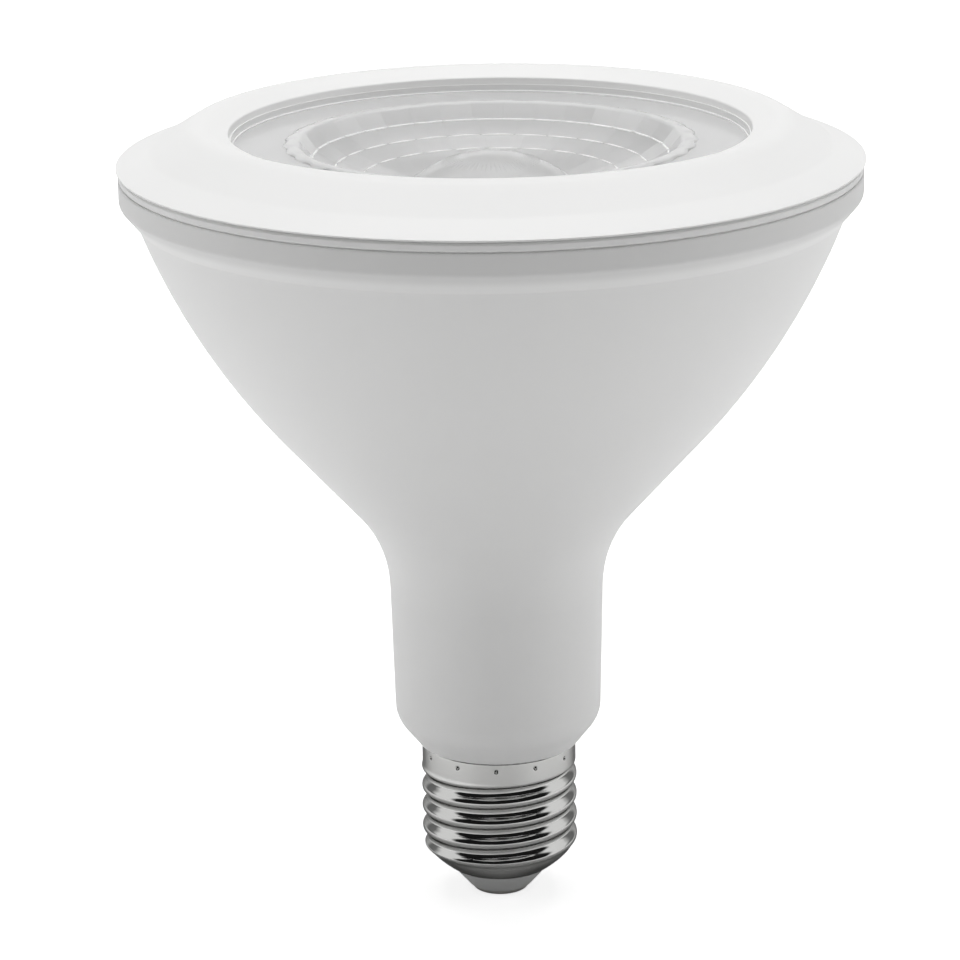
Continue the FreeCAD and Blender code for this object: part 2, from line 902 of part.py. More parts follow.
# Drum choke: two cheeks and the sleeved coil between them, standing on the board
def make_filter_choke():
    coil = choke_radius - choke_depth
    return stood(turned([
        stop(0, 0),
        stop(choke_radius, 0),
        stop(choke_radius, choke_cheek),
        stop(coil, choke_cheek),
        stop(coil, choke_length - choke_cheek),
        stop(choke_radius, choke_length - choke_cheek),
        stop(choke_radius, choke_length),
        stop(0, choke_length)]), 0, board_step - choke_drop)


# Transformer: a pair of E cores round a taped winding on a pinned bobbin
core_middle = board_front - winding_depth / 2 - winding_stand
core_opening = (core_width - 4 * core_limb) / 2


def make_transformer_core():
    bottom = board_step - transformer_drop
    low = Vector(transformer_x - core_width / 2, core_middle - core_depth / 2, bottom)
    block = Part.makeBox(core_width, core_depth, core_height, low)
    windows = []
    for side in (0, 1):
        reach = core_limb + side * (core_opening + 2 * core_limb)
        start = low + Vector(reach, -cut_over, core_limb)
        depth = core_depth + 2 * cut_over
        windows.append(Part.makeBox(core_opening, depth, core_height - 2 * core_limb, start))
    return block.cut(windows)


def make_transformer_winding():
    x = transformer_x
    reach = 2 * (core_opening + core_limb - core_gap)
    height = core_height - 2 * (core_limb + core_gap)
    base = board_step - transformer_drop + core_limb + core_gap
    corner = Vector(x - reach / 2, core_middle - winding_depth / 2, base)
    wound = Part.makeBox(reach, winding_depth, height, corner)
    wound = wound.makeFillet(winding_round, edges_along(wound, axis))
    limb = core_limb + core_gap
    depth = core_depth + 2 * core_gap
    low = Vector(x - limb, core_middle - depth / 2, base - cut_over)
    hole = Part.makeBox(2 * limb, depth, height + 2 * cut_over, low)
    pins = []
    for side in (-1, 1):
        for row in (0.25, 0.75):
            pins.append(pin(x + side * reach / 3, base + height * row, 2 * winding_stand))
    return wound.cut(hole).fuse(pins).removeSplitter()


# Flat package on the board's back face, with a row of feet on both sides
def package(width, height, depth, feet, x, z):
    body = Part.makeBox(width, depth, height, Vector(x - width / 2, board_back + package_lift, z))
    legs = []
    for number in range(feet):
        spot = z + height * (number + 0.5) / feet - foot_width / 2
        for start in (x - width / 2 - foot_length, x + width / 2):
            corner = Vector(start, board_back, spot)
            legs.append(Part.makeBox(foot_length, package_lift + depth / 3, foot_width, corner))
    return body.fuse(legs).removeSplitter()


def make_bridge_rectifier():
    z = board_bottom + rectifier_rise
    return package(rectifier_width, rectifier_height, rectifier_depth, 2, rectifier_x, z)


def make_driver_chip():
    return package(chip_width, chip_height, chip_depth, 4, chip_x, board_bottom + chip_rise)


def make_output_diode():
    x = board_top_width / 2 - diode_inset
    return package(diode_width, diode_height, diode_depth, 1, x, board_bottom + diode_rise)


# Small chip resistors on the board's back face
def make_chip_resistors():
    chips = []
    for row in range(resistor_rows):
        z = board_bottom + resistor_rise + row * resistor_step
        for x in (resistor_x, resistor_x + resistor_spread):
            corner = Vector(x, board_back, z)
            chips.append(Part.makeBox(resistor_width, resistor_depth, resistor_height, corner))
    return Part.makeCompound(chips)


def make_live_lead():
    stand = board_front - mains_stand
    height = board_bottom + mains_rise
    return bent_wire(lead_radius, [
        Vector(mains_reach, board_front, height), Vector(mains_reach, stand, height),
        Vector(mains_reach / 2, stand, height - mains_turn), Vector(0, 0, spigot_bottom),
        Vector(0, 0, stem_top)])


def make_neutral_lead():
    stand = board_front - mains_stand
    height = board_bottom + mains_rise
    low = spigot_bottom + neutral_rise
    return bent_wire(lead_radius, [
        Vector(-mains_reach, board_front, height), Vector(-mains_reach, stand, height),
        Vector(-mains_reach - neutral_swing, stand, height - mains_turn),
        Vector(-mains_reach - neutral_swing, 0, low),
        Vector(-spigot_radius, 0, low)])


# Leads from the board's back face through the floor's wire hole into the terminal
def board_lead(side, drop):
    height = board_top - drop
    entry = light_board_top + terminal_height / 2
    face = -terminal_place - terminal_length / 2
    hole = Vector(-wire_hole_place, side * terminal_width / 4, 0)
    stand = board_back + board_lead_stand + side
    bend = (board_lead_x - wire_hole_place) / 2 - side
    return bent_wire(lead_radius, [
        Vector(board_lead_x, board_back, height), Vector(board_lead_x, stand, height),
        Vector(bend, stand, board_top + 1 + side),
        hole + Vector(0, 0, sink_floor_height - screw_reach), hole + Vector(0, 0, entry),
        Vector(face, side * terminal_width / 4, entry)])


makers = {
    "bezel_ring": make_bezel_ring,
    "front_lens": make_front_lens,
    "housing": make_housing,
    "heat_sink": make_heat_sink,
    "thermal_pad": make_thermal_pad,
    "led_board": make_led_board,
    "led_array": make_led_array,
    "board_screws": make_board_screws,
    "lead_terminal": make_lead_terminal,
    "driver_board": make_driver_board,
    "bulk_capacitor": make_bulk_capacitor,
    "output_capacitor": make_output_capacitor,
    "film_capacitor": make_film_capacitor,
    "varistor": make_varistor,
    "fusible_resistor": make_fusible_resistor,
    "filter_choke": make_filter_choke,
    "transformer_core": make_transformer_core,
    "transformer_winding": make_transformer_winding,
    "bridge_rectifier": make_bridge_rectifier,
    "driver_chip": make_driver_chip,
    "output_diode": make_output_diode,
    "chip_resistors": make_chip_resistors,
    "live_lead": make_live_lead,
    "neutral_lead": make_neutral_lead,
    "positive_lead": lambda: board_lead(1, board_lead_drop),
    "negative_lead": lambda: board_lead(-1, board_lead_drop + board_lead_step),
    "screw_shell": make_screw_shell,
    "cap_insulator": make_cap_insulator,
    "centre_contact": make_centre_contact}

os.makedirs("parts", exist_ok=True)
for name, maker in makers.items():
    shape = maker()
    shape.exportStep("parts/" + name + ".step")
    print(name, "solids", len(shape.Solids), "volume", round(shape.Volume, 1), "valid", shape.isValid())
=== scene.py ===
import json
import math

import bpy
from mathutils import Matrix, Vector


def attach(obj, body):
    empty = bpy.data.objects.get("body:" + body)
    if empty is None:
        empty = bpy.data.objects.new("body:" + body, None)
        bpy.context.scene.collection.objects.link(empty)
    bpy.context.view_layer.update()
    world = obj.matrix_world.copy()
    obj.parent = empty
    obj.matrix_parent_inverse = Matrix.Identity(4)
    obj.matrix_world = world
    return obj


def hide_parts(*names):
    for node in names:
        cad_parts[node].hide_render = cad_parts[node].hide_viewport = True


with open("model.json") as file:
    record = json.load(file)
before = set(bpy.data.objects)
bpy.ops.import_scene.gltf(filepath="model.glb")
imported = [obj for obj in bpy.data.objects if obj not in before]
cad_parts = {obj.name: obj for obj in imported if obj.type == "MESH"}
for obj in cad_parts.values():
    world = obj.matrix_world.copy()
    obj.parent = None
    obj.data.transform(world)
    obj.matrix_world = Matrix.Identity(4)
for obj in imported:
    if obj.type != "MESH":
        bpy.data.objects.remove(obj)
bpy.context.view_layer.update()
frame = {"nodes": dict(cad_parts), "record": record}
nodes = frame["nodes"]
mm = 0.001
print("frame loaded:", len(nodes), "nodes")


# camera, at the photograph's viewing angle
cameraSettings = {
    "place": (-2.522, -624.254, 258.55),  # mm
    "pitchDown": 16.602,                  # degrees
    "roll": -0.872,                       # degrees
    "lens": 146.92,                       # mm
    "sensor": 36,                         # mm
}


def makeCamera(settings):
    data = bpy.data.cameras.new("viewCamera")
    data.lens = settings["lens"]
    data.sensor_width = settings["sensor"]
    camera = bpy.data.objects.new("viewCamera", data)
    bpy.context.scene.collection.objects.link(camera)
    look = Matrix.Rotation(math.radians(90 - settings["pitchDown"]), 4, "X")
    turn = Matrix.Rotation(math.radians(settings["roll"]), 4, "Z")
    camera.matrix_world = Matrix.Translation(Vector(settings["place"]) * mm) @ look @ turn
    bpy.context.scene.camera = camera
    bpy.context.scene.view_settings.view_transform = "Standard"


makeCamera(cameraSettings)


# node helpers
def newGroup(name, inputs, outputs):
    group = bpy.data.node_groups.new(name, "ShaderNodeTree")
    for label, kind, value in inputs:
        socket = group.interface.new_socket(label, in_out="INPUT", socket_type=kind)
        socket.default_value = value
    for label, kind in outputs:
        group.interface.new_socket(label, in_out="OUTPUT", socket_type=kind)
    return group, group.nodes.new("NodeGroupInput"), group.nodes.new("NodeGroupOutput")


def addNode(tree, kind, links=None, **values):
    node = tree.nodes.new(kind)
    for label, value in values.items():
        setattr(node, label, value)
    for socket, value in (links or {}).items():
        if isinstance(value, bpy.types.NodeSocket):
            tree.links.new(value, node.inputs[socket])
        else:
            node.inputs[socket].default_value = value
    return node


def mathNode(tree, operation, first, second=0.0):
    return addNode(tree, "ShaderNodeMath", {0: first, 1: second}, operation=operation).outputs[0]


def mixNumbers(tree, share, low, high):
    node = addNode(tree, "ShaderNodeMapRange", {"Value": share, "To Min": low, "To Max": high})
    return node.outputs[0]


def mixColours(tree, share, first, second, blend="MIX"):
    sockets = {0: share, 6: first, 7: second}  # a colour mix has its factor and colours here
    node = addNode(tree, "ShaderNodeMix", sockets, data_type="RGBA", blend_type=blend)
    return node.outputs[2]


# soft step from first to last, while value goes from low to high
def softStep(tree, value, low, high, first=0.0, last=1.0):
    node = addNode(tree, "ShaderNodeMapRange", {
        "Value": value, "From Min": low, "From Max": high, "To Min": first, "To Max": last},
        interpolation_type="SMOOTHSTEP")
    return node.outputs[0]


def rgba(colour):
    return tuple(colour) + (1.0,)


# the end of both surface groups: tone follows the clouds, gloss follows the swing
def joinSurface(group, start, end, cloud, swing, height):
    tone = mixColours(group, cloud, start.outputs["Base"], start.outputs["Tint"])
    swing = mathNode(group, "MULTIPLY", swing, start.outputs["Gloss Spread"])
    group.links.new(tone, end.inputs["Color"])
    group.links.new(mathNode(group, "ADD", start.outputs["Gloss"], swing), end.inputs["Roughness"])
    group.links.new(height, end.inputs["Height"])
    return group


# moulded plastic: faint cloudy tone, a little change in gloss, fine skin
def buildMouldedSkin():
    group, start, end = newGroup("mouldedSkin", [
        ("Base", "NodeSocketColor", (0.8, 0.8, 0.8, 1)),
        ("Tint", "NodeSocketColor", (0.7, 0.7, 0.7, 1)),
        ("Cloud Scale", "NodeSocketFloat", 60.0),
        ("Skin Scale", "NodeSocketFloat", 2500.0),
        ("Gloss", "NodeSocketFloat", 0.4),
        ("Gloss Spread", "NodeSocketFloat", 0.1)], [
        ("Color", "NodeSocketColor"),
        ("Roughness", "NodeSocketFloat"),
        ("Height", "NodeSocketFloat")])
    place = addNode(group, "ShaderNodeTexCoord").outputs["Object"]
    cloud = addNode(group, "ShaderNodeTexNoise", {
        "Vector": place, "Scale": start.outputs["Cloud Scale"], "Detail": 4.0}).outputs["Fac"]
    skin = addNode(group, "ShaderNodeTexNoise", {
        "Vector": place, "Scale": start.outputs["Skin Scale"],
        "Detail": 3.0, "Roughness": 0.6}).outputs["Fac"]
    swing = mathNode(group, "SUBTRACT", cloud, 0.5)  # about zero
    return joinSurface(group, start, end, cloud, swing, skin)


# rolled or pressed metal: fine lines round the lamp's axis, with a soft change of tone
def buildRolledSheet():
    group, start, end = newGroup("rolledSheet", [
        ("Base", "NodeSocketColor", (0.8, 0.8, 0.8, 1)),
        ("Tint", "NodeSocketColor", (0.7, 0.7, 0.7, 1)),
        ("Line Scale", "NodeSocketFloat", 3000.0),
        ("Cloud Scale", "NodeSocketFloat", 150.0),
        ("Gloss", "NodeSocketFloat", 0.2),
        ("Gloss Spread", "NodeSocketFloat", 0.1)], [
        ("Color", "NodeSocketColor"),
        ("Roughness", "NodeSocketFloat"),
        ("Height", "NodeSocketFloat")])
    place = addNode(group, "ShaderNodeTexCoord").outputs["Object"]
    parts = addNode(group, "ShaderNodeSeparateXYZ", {0: place}).outputs
    flat = addNode(group, "ShaderNodeCombineXYZ", {0: parts[0], 1: parts[1]}).outputs[0]
    radius = addNode(group, "ShaderNodeVectorMath", {0: flat}, operation="LENGTH").outputs["Value"]
    across = addNode(group, "ShaderNodeCombineXYZ", {0: radius, 2: parts[2]}).outputs[0]
    lines = addNode(group, "ShaderNodeTexNoise", {
        "Vector": across, "Scale": start.outputs["Line Scale"], "Detail": 2.0}).outputs["Fac"]
    cloud = addNode(group, "ShaderNodeTexNoise", {
        "Vector": place, "Scale": start.outputs["Cloud Scale"], "Detail": 5.0}).outputs["Fac"]
    swing = mathNode(group, "SUBTRACT", mathNode(group, "ADD", cloud, lines), 1.0)  # about zero
    return joinSurface(group, start, end, cloud, swing, lines)


# from 0 under the low height to 1 over the high one, in metres
def buildHeightMask():
    group, start, end = newGroup("heightMask", [
        ("Low", "NodeSocketFloat", 0.1),
        ("High", "NodeSocketFloat", 0.2)], [
        ("Mask", "NodeSocketFloat")])
    place = addNode(group, "ShaderNodeTexCoord").outputs["Object"]
    height = addNode(group, "ShaderNodeSeparateXYZ", {0: place}).outputs[2]
    mask = softStep(group, height, start.outputs["Low"], start.outputs["High"])
    group.links.new(mask, end.inputs["Mask"])
    return group


surfaceGroups = {"moulded": buildMouldedSkin(), "rolled": buildRolledSheet()}
heightMask = buildHeightMask()


# one finish: a surface group that feeds the shader, which stays in the material
def makeFinish(name, settings):
    material = bpy.data.materials.new(name)
    material.use_nodes = True
    tree = material.node_tree
    shader = tree.nodes["Principled BSDF"]
    group = tree.nodes.new("ShaderNodeGroup")
    group.node_tree = surfaceGroups[settings["surface"]]
    group.inputs["Base"].default_value = rgba(settings["base"])
    group.inputs["Tint"].default_value = rgba(settings["tint"])
    group.inputs["Gloss"].default_value = settings["gloss"]
    group.inputs["Gloss Spread"].default_value = settings["glossSpread"]
    if "cloudScale" in settings:
        group.inputs["Cloud Scale"].default_value = settings["cloudScale"]
    tree.links.new(group.outputs["Color"], shader.inputs["Base Color"])
    tree.links.new(group.outputs["Roughness"], shader.inputs["Roughness"])
    bump = addNode(tree, "ShaderNodeBump", {
        "Height": group.outputs["Height"],
        "Strength": settings["bump"], "Distance": settings["depth"] * mm})
    tree.links.new(bump.outputs[0], shader.inputs["Normal"])
    for label, value in settings.get("shader", {}).items():
        shader.inputs[label].default_value = value
    return material


# finishes by material slot, bump depth in mm
finishSettings = {
    "white_shell": {"surface": "moulded", "base": (0.83, 0.83, 0.825), "tint": (0.85, 0.85, 0.845),
                    "gloss": 0.42, "glossSpread": 0.1, "bump": 0.15, "depth": 0.01},
    "clear_optic": {"surface": "moulded", "base": (0.93, 0.93, 0.93), "tint": (0.89, 0.89, 0.89),
                    "gloss": 0.1, "glossSpread": 0.05, "bump": 0.05, "depth": 0.01,
                    "shader": {"Transmission Weight": 0.5, "IOR": 1.49}},
    "sink_metal": {"surface": "moulded", "base": (0.88, 0.88, 0.87), "tint": (0.84, 0.84, 0.83),
                   "gloss": 0.5, "glossSpread": 0.15, "bump": 0.3, "depth": 0.02},
    "pad_grey": {"surface": "moulded", "base": (0.42, 0.43, 0.45), "tint": (0.50, 0.51, 0.53),
                 "gloss": 0.75, "glossSpread": 0.1, "bump": 0.4, "depth": 0.03},
    "board_white": {"surface": "moulded", "base": (0.86, 0.86, 0.84), "tint": (0.82, 0.82, 0.80),
                    "gloss": 0.35, "glossSpread": 0.1, "bump": 0.2, "depth": 0.01},
    "phosphor": {"surface": "moulded", "base": (0.88, 0.82, 0.62), "tint": (0.84, 0.76, 0.52),
                 "gloss": 0.3, "glossSpread": 0.1, "bump": 0.2, "depth": 0.02},
    "screw_steel": {"surface": "rolled", "base": (0.60, 0.60, 0.60), "tint": (0.50, 0.50, 0.50),
                    "gloss": 0.3, "glossSpread": 0.2, "bump": 0.3, "depth": 0.01,
                    "shader": {"Metallic": 1.0}},
    "terminal_plastic": {"surface": "moulded", "base": (0.84, 0.84, 0.81), "tint": (0.80, 0.80, 0.77),
                         "gloss": 0.4, "glossSpread": 0.1, "bump": 0.2, "depth": 0.01},
    "board_green": {"surface": "moulded", "base": (0.03, 0.15, 0.06), "tint": (0.04, 0.19, 0.08),
                    "cloudScale": 400.0,
                    "gloss": 0.35, "glossSpread": 0.2, "bump": 0.3, "depth": 0.02},
    "sleeve_black": {"surface": "moulded", "base": (0.02, 0.02, 0.022), "tint": (0.03, 0.03, 0.033),
                     "gloss": 0.3, "glossSpread": 0.2, "bump": 0.3, "depth": 0.02},
    "film_box": {"surface": "moulded", "base": (0.62, 0.45, 0.08), "tint": (0.66, 0.50, 0.12),
                 "gloss": 0.45, "glossSpread": 0.1, "bump": 0.3, "depth": 0.02},
    "varistor_coat": {"surface": "moulded", "base": (0.03, 0.08, 0.30), "tint": (0.04, 0.10, 0.36),
                      "gloss": 0.35, "glossSpread": 0.2, "bump": 0.5, "depth": 0.05},
    "resistor_coat": {"surface": "moulded", "base": (0.16, 0.26, 0.17), "tint": (0.20, 0.30, 0.20),
                      "gloss": 0.4, "glossSpread": 0.2, "bump": 0.5, "depth": 0.05},
    "ferrite": {"surface": "moulded", "base": (0.035, 0.035, 0.038), "tint": (0.06, 0.06, 0.062),
                "cloudScale": 900.0,
                "gloss": 0.6, "glossSpread": 0.2, "bump": 0.5, "depth": 0.03},
    "winding_tape": {"surface": "moulded", "base": (0.70, 0.48, 0.05), "tint": (0.62, 0.40, 0.04),
                     "gloss": 0.25, "glossSpread": 0.1, "bump": 0.3, "depth": 0.03},
    "package_black": {"surface": "moulded", "base": (0.02, 0.02, 0.02), "tint": (0.035, 0.035, 0.035),
                      "gloss": 0.55, "glossSpread": 0.2, "bump": 0.4, "depth": 0.02},
    "lead_black": {"surface": "moulded", "base": (0.02, 0.02, 0.02), "tint": (0.03, 0.03, 0.03),
                   "gloss": 0.5, "glossSpread": 0.1, "bump": 0.3, "depth": 0.02},
    "lead_white": {"surface": "moulded", "base": (0.75, 0.75, 0.72), "tint": (0.68, 0.68, 0.65),
                   "gloss": 0.5, "glossSpread": 0.1, "bump": 0.3, "depth": 0.02},
    "lead_red": {"surface": "moulded", "base": (0.50, 0.02, 0.02), "tint": (0.42, 0.02, 0.02),
                 "gloss": 0.5, "glossSpread": 0.1, "bump": 0.3, "depth": 0.02},
    "cap_plate": {"surface": "rolled", "base": (0.64, 0.64, 0.63), "tint": (0.56, 0.56, 0.55),
                  "gloss": 0.1, "glossSpread": 0.06, "bump": 0.1, "depth": 0.01,
                  "shader": {"Metallic": 1.0, "Specular Tint": (0.25, 0.25, 0.25, 1.0)}},
    "insulator_grey": {"surface": "moulded", "base": (0.56, 0.565, 0.56), "tint": (0.50, 0.505, 0.50),
                       "gloss": 0.35, "glossSpread": 0.1, "bump": 0.3, "depth": 0.02},
    "contact_metal": {"surface": "rolled", "base": (0.55, 0.54, 0.52), "tint": (0.45, 0.44, 0.42),
                      "gloss": 0.3, "glossSpread": 0.15, "bump": 0.3, "depth": 0.01,
                      "shader": {"Metallic": 1.0}},
}
finishes = {slot: makeFinish(slot, settings) for slot, settings in finishSettings.items()}
for part in frame["record"]["subparts"]:
    piece = nodes[part["node"]]
    piece.data.materials.clear()
    piece.data.materials.append(finishes[part["material_slot"]])
print("finishes made:", len(finishes))


# painted shade: the body's flange is painted a shade darker than the flare below it, standing in for
# shade the lights don't give, mm
flangeShadeSettings = {"low": 120.2, "soft": 0.9, "shade": 0.86}


def paintFlangeShade(s):
    material = makeFinish("white_flange_painted_shade", finishSettings["white_shell"])
    tree = material.node_tree
    band = tree.nodes.new("ShaderNodeGroup")
    band.node_tree = heightMask
    band.inputs["Low"].default_value = (s["low"] - s["soft"]) * mm
    band.inputs["High"].default_value = (s["low"] + s["soft"]) * mm
    colour = tree.nodes["Principled BSDF"].inputs["Base Color"]
    plain = colour.links[0].from_socket
    # painted shade: the flange's base colour is multiplied darker above its low height
    tone = mixColours(tree, band.outputs["Mask"], plain, rgba([s["shade"]] * 3), "MULTIPLY")
    tree.links.new(tone, colour)
    nodes["housing"].data.materials[0] = material


paintFlangeShade(flangeShadeSettings)
print("flange shaded")


# mesh helpers
def addPiece(name, points, faces, material, smooth=True):
    mesh = bpy.data.meshes.new(name)
    mesh.from_pydata(points, [], faces)
    mesh.polygons.foreach_set("use_smooth", [smooth] * len(mesh.polygons))
    mesh.materials.append(material)
    piece = bpy.data.objects.new(name, mesh)
    bpy.context.scene.collection.objects.link(piece)
    return piece


# faces between rings of points, each ring closed and "across" points long
def ringFaces(start, across, rings):
    faces = []
    for ring in range(rings - 1):
        low = start + ring * across
        for corner in range(across):
            after = (corner + 1) % across
            faces.append((low + corner, low + after, low + across + after, low + across + corner))
    return faces


# the same with both ends closed
def rodFaces(start, across, rings):
    last = start + (rings - 1) * across
    faces = ringFaces(start, across, rings)
    faces.append(tuple(range(start + across - 1, start - 1, -1)))
    faces.append(tuple(range(last, last + across)))
    return faces


def thicken(piece, thickness):
    sheet = piece.modifiers.new("sheet", "SOLIDIFY")
    sheet.thickness = thickness * mm
    sheet.offset = -1


# rolled screw shell with its real helix, mm and degrees
shellSettings = {
    "pitch": 25.4 / 7, "round": 1.025, "crest": 13.15, "root": 12.05, "wall": 0.33,
    "band": 13.0, "bandFoot": 15.0, "top": 27.0, "lipRadius": 8.62, "lipHeight": 4.5,
    "startHeight": 18.75, "fadeTop": 23.2, "fadeFoot": 7.6, "fadeReach": 1.6,
    "coneTop": 9.0, "coneRadius": 12.8, "coneBulge": 1.5,
    "crimps": 12, "crimpHeight": 25.5, "crimpPhase": -92.5,
    "crimpSize": 0.29, "crimpDepth": 0.5, "crimpSoft": 1.35,
    "fineReach": 0.6, "fineSteps": 14, "wideSteps": 12, "fineRows": 14, "rowStep": 0.19,
    "topRoll": 0.45, "topRollHeight": 0.3, "topRows": 9,
}


# 0 to 1 with soft ends
def softShare(value):
    value = min(max(value, 0.0), 1.0)
    return value * value * (3 - 2 * value)


# rounded thread: arcs outwards at the crest and inwards at the root, fading into band and cone
def threadRadius(turn, height, s):
    phase = (height - s["startHeight"]) / s["pitch"] - (turn - 0.5)
    offset = abs((phase + 0.5) % 1 - 0.5) * s["pitch"]
    mean = (s["crest"] + s["root"]) / 2
    reach = s["crest"] - s["round"] - mean
    if offset < s["pitch"] / 4:
        knuckle = reach + math.sqrt(s["round"] ** 2 - offset ** 2)
    else:
        knuckle = -reach - math.sqrt(s["round"] ** 2 - (s["pitch"] / 2 - offset) ** 2)
    down = min(max((s["coneTop"] - height) / (s["coneTop"] - s["lipHeight"]), 0.0), 1.0)
    cone = s["coneRadius"] - (s["coneRadius"] - s["lipRadius"]) * down ** s["coneBulge"]
    plain = s["band"] if height > s["bandFoot"] else cone
    foot = softShare((height - s["fadeFoot"]) / s["fadeReach"])
    share = softShare(s["fadeTop"] - height) * foot
    return plain * (1 - share) + (mean + knuckle) * share


# evenly spaced values from start up to end, which the next run holds
def spread(start, end, steps):
    return [start + (end - start) * step / steps for step in range(steps)]


# turns round the shell and heights up it, closer together at the punch marks
def shellTurns(s):
    sector = 1 / s["crimps"]
    reach = s["fineReach"] / (2 * math.pi * s["band"])
    turns = []
    for number in range(s["crimps"]):
        middle = s["crimpPhase"] / 360 + number * sector
        turns += spread(middle - reach, middle + reach, s["fineSteps"])
        turns += spread(middle + reach, middle + sector - reach, s["wideSteps"])
    return turns


def shellHeights(s):
    low = s["crimpHeight"] - s["fineReach"]
    high = s["crimpHeight"] + s["fineReach"]
    rows = spread(s["lipHeight"], low, round((low - s["lipHeight"]) / s["rowStep"]))
    rows += spread(low, high, s["fineRows"])
    return rows + spread(high, s["top"], s["topRows"]) + [s["top"]]


# depth of the nearest punch mark at a spot of the band
def crimpDent(angle, height, s):
    step = 360 / s["crimps"]
    away = (angle - s["crimpPhase"] + step / 2) % step - step / 2
    side = math.radians(away) * s["band"]
    distance = math.hypot(side, height - s["crimpHeight"]) / s["crimpSize"]
    return s["crimpDepth"] * softShare(s["crimpSoft"] - distance)


def makeScrewShell(s):
    points = []
    turns = shellTurns(s)
    heights = shellHeights(s)
    for height in heights:
        roll = s["topRoll"] * softShare((height - s["top"]) / s["topRollHeight"] + 1)
        for turn in turns:
            radius = threadRadius(turn % 1, height, s) - crimpDent(360 * turn, height, s) - roll
            angle = 2 * math.pi * turn
            points.append(Vector((radius * math.cos(angle), radius * math.sin(angle), height)) * mm)
    faces = ringFaces(0, len(turns), len(heights))
    piece = addPiece("threadedShell", points, faces, finishes["cap_plate"])
    thicken(piece, s["wall"])
    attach(piece, "root")
    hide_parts("screw_shell")


makeScrewShell(shellSettings)
print("screw shell made")


# painted highlight: an opaque near-white finish, with no transmission, for polished lens edges,
# standing in for the bright lines that light gives in the clear lens
paintedHighlightSettings = {"surface": "moulded", "base": (0.99, 0.99, 0.99), "tint": (0.97, 0.97, 0.97),
                 "gloss": 0.15, "glossSpread": 0.05, "bump": 0.05, "depth": 0.01}

# polished edges between the lens's tiers, one spindle along each facet's edge, in the painted-highlight
# white, mm and degrees
edgeSettings = {
    "outerEdge": {"sides": 35, "radius": 28.98, "height": 127.47,
                  "phase": 4.6, "cover": 1.0, "thick": 0.22},
    "middleEdge": {"sides": 28, "radius": 25.5, "height": 125.56,
                   "phase": 9.5, "cover": 0.93, "thick": 0.21},
    "innerEdge": {"sides": 24, "radius": 21.1, "height": 124.16,
                  "phase": 13.5, "cover": 0.86, "thick": 0.2},
}
spindleSettings = {"across": 8, "stations": 5, "tip": 0.15}  # tip: how far the taper starts in


def makeTierEdge(name, s, spindle):
    across = spindle["across"]
    stations = spindle["stations"]
    points = []
    faces = []
    for side in range(s["sides"]):
        angles = [math.radians(90 - s["phase"] - (side + end) * 360 / s["sides"]) for end in (0, 1)]
        ends = [Vector((math.cos(a), math.sin(a), 0)) * s["radius"] for a in angles]
        along = (ends[1] - ends[0]).normalized()
        outward = Vector((-along.y, along.x, 0))
        faces += rodFaces(len(points), across, stations)
        for station in range(stations):
            share = station / (stations - 1)
            swell = math.sin(math.pi * (spindle["tip"] + (1 - 2 * spindle["tip"]) * share))
            thick = s["thick"] * (1 if s["cover"] == 1 else swell)  # a full ring has no thin ends
            middle = ends[0].lerp(ends[1], 0.5 + (share - 0.5) * s["cover"])
            middle += Vector((0, 0, s["height"]))
            for corner in range(across):
                turn = 2 * math.pi * corner / across
                lift = outward * math.cos(turn) + Vector((0, 0, 1)) * math.sin(turn)
                points.append((middle + lift * thick) * mm)
    piece = addPiece(name, points, faces, makeFinish(name + "PaintedHighlight", paintedHighlightSettings))
    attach(piece, "root")


for name, settings in edgeSettings.items():
    makeTierEdge(name, settings, spindleSettings)
print("tier edges made:", len(edgeSettings))


# fine radial ridges round the dome's top, mm
ridgeSettings = {
    "count": 60, "inner": 5.2, "outer": 8.2, "wide": 0.09, "high": 0.05, "steps": 6, "tip": 0.08,
    "sphere": 20.85, "sphereHeight": 107.15,   # the dome's own sphere
    "profile": [(1, -0.4), (0.55, 0.75), (0, 1), (-0.55, 0.75), (-1, -0.4)],   # shares of wide and high
}


def makeDomeRidges(s):
    points = []
    faces = []
    for number in range(s["count"]):
        turn = 2 * math.pi * number / s["count"]
        along = Vector((math.cos(turn), math.sin(turn), 0))
        side = Vector((-along.y, along.x, 0))
        faces += rodFaces(len(points), len(s["profile"]), s["steps"] + 1)
        for step in range(s["steps"] + 1):
            share = step / s["steps"]
            radius = s["inner"] + (s["outer"] - s["inner"]) * share
            swell = math.sin(math.pi * (s["tip"] + (1 - 2 * s["tip"]) * share))
            rise = math.sqrt(s["sphere"] ** 2 - radius ** 2)
            foot = along * radius + Vector((0, 0, s["sphereHeight"] + rise))
            outward = (along * radius + Vector((0, 0, rise))).normalized()
            for across, lift in s["profile"]:
                spot = foot + side * across * s["wide"] * swell + outward * lift * s["high"] * swell
                points.append(spot * mm)
    piece = addPiece("domeRidges", points, faces, finishes["clear_optic"], smooth=False)
    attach(piece, "root")


makeDomeRidges(ridgeSettings)
print("dome ridges made:", ridgeSettings["count"])


# polished round edge of the lens, where it meets the white ring, in the painted-highlight white that
# shows it as a bright line, mm
seamSettings = {"radius": 41.82, "height": 129.86, "thick": 0.17, "turns": 180, "across": 8}


def makeSeamRing(s):
    points = []
    for turn in range(s["turns"]):
        around = 2 * math.pi * turn / s["turns"]
        for corner in range(s["across"]):
            lift = 2 * math.pi * corner / s["across"]
            radius = s["radius"] + s["thick"] * math.cos(lift)
            height = s["height"] + s["thick"] * math.sin(lift)
            points.append(Vector((radius * math.cos(around), radius * math.sin(around), height)) * mm)
    points += points[:s["across"]]
    faces = ringFaces(0, s["across"], s["turns"] + 1)
    piece = addPiece("lensRimEdge", points, faces, makeFinish("rimEdgePaintedHighlight", paintedHighlightSettings))
    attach(piece, "root")


makeSeamRing(seamSettings)
print("lens rim edge made")


